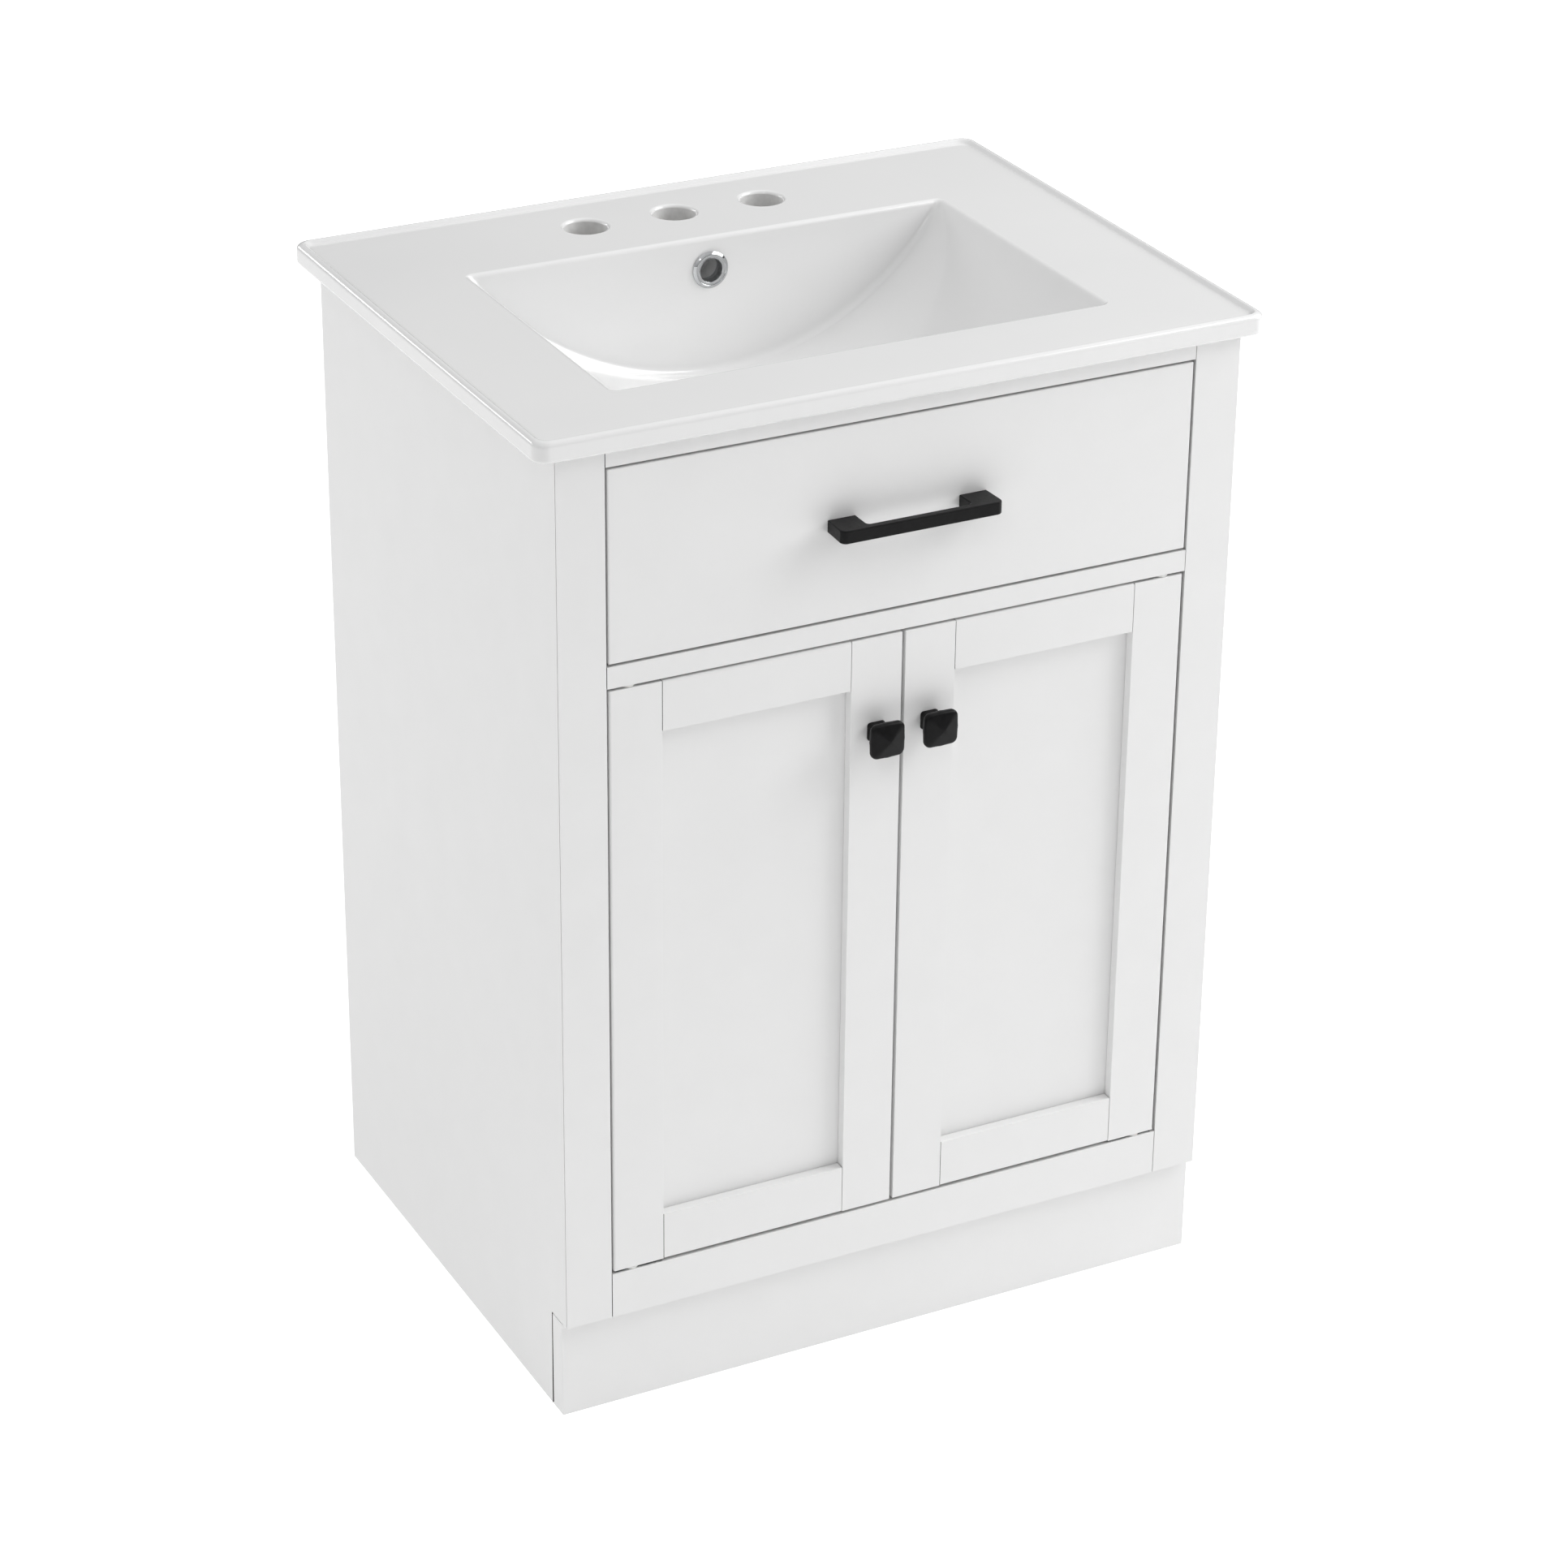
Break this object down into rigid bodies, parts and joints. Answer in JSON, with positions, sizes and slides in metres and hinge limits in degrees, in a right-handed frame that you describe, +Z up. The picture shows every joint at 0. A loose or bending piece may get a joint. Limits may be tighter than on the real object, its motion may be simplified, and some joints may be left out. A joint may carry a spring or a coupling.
{
  "type": "bathroom vanity cabinet",
  "caption": "White bathroom vanity cabinet with inset shaker doors, a drawer, black square handles and a one-piece ceramic basin top with tap holes and an overflow.",
  "frame": {"origin": "on the floor under the middle of the whole vanity: centre of its width, and midway between the pull's front face and the top's back edge", "axes": "+X to the right as seen from the front, +Y to the wall behind, +Z up"},
  "size_m": [0.61, 0.4866, 0.839],
  "materials": {
    "white_paint": "satin white paint on wood-fibre board",
    "white_ceramic": "gloss white glaze",
    "white_melamine": "matt white melamine board",
    "birch_plywood": "clear-lacquered birch plywood",
    "black_metal": "satin black powder coat",
    "chrome": "polished",
    "zinc_steel": "bright zinc plate",
    "white_nylon": "moulded"
  },
  "bodies": {
    "cabinet": {"bottom_panel": "white_melamine", "bottom_rail": "white_paint", "ceramic_top": "white_ceramic", "left_lower_pivot_plate": "zinc_steel", "left_runner_cleat": "white_melamine", "left_side_panel": "white_paint", "left_slide_outer": "zinc_steel", "left_stile": "white_paint", "left_upper_pivot_plate": "zinc_steel", "lower_back_rail": "white_melamine", "magnetic_catch": "white_nylon", "middle_rail": "white_paint", "overflow_ring": "chrome", "right_lower_pivot_plate": "zinc_steel", "right_runner_cleat": "white_melamine", "right_side_panel": "white_paint", "right_slide_outer": "zinc_steel", "right_stile": "white_paint", "right_upper_pivot_plate": "zinc_steel", "toe_kick": "white_paint", "top_rail": "white_paint", "upper_back_rail": "white_melamine"},
    "left_door": {"left_door_bottom_rail": "white_paint", "left_door_hinge_stile": "white_paint", "left_door_knob": "black_metal", "left_door_knob_screw": "zinc_steel", "left_door_lock_stile": "white_paint", "left_door_lower_bush": "white_nylon", "left_door_panel": "white_paint", "left_door_strike": "zinc_steel", "left_door_top_rail": "white_paint", "left_door_upper_bush": "white_nylon"},
    "right_door": {"right_door_bottom_rail": "white_paint", "right_door_hinge_stile": "white_paint", "right_door_knob": "black_metal", "right_door_knob_screw": "zinc_steel", "right_door_lock_stile": "white_paint", "right_door_lower_bush": "white_nylon", "right_door_panel": "white_paint", "right_door_strike": "zinc_steel", "right_door_top_rail": "white_paint", "right_door_upper_bush": "white_nylon"},
    "drawer": {"drawer_bottom": "birch_plywood", "drawer_front": "white_paint", "drawer_left_back": "birch_plywood", "drawer_left_notch_wall": "birch_plywood", "drawer_left_side": "birch_plywood", "drawer_notch_front": "birch_plywood", "drawer_pull": "black_metal", "drawer_right_back": "birch_plywood", "drawer_right_notch_wall": "birch_plywood", "drawer_right_side": "birch_plywood", "drawer_sub_front": "birch_plywood", "left_pull_screw": "zinc_steel", "left_slide_inner": "zinc_steel", "right_pull_screw": "zinc_steel", "right_slide_inner": "zinc_steel"},
    "slide_middles": {"left_slide_middle": "zinc_steel", "right_slide_middle": "zinc_steel"}
  },
  "joints": [
    {"name": "left_door_hinge", "type": "hinge", "parent": "cabinet", "child": "left_door", "pos_m": [-0.2286, -0.21065, 0.1283], "axis": [0, 0, -1], "range_deg": [0, 105]},
    {"name": "right_door_hinge", "type": "hinge", "parent": "cabinet", "child": "right_door", "pos_m": [0.2286, -0.21065, 0.1283], "axis": [0, 0, 1], "range_deg": [0, 105]},
    {"name": "drawer_slide", "type": "slide", "parent": "cabinet", "child": "drawer", "axis": [0, -1, 0], "range_m": [0, 0.33]},
    {"name": "slide_middle_travel", "type": "slide", "parent": "cabinet", "child": "slide_middles", "axis": [0, -1, 0], "range_m": [0, 0.165]}
  ],
  "couplings": [
    {"joint": "slide_middle_travel", "follows": "drawer_slide", "ratio": 0.5}
  ]
}
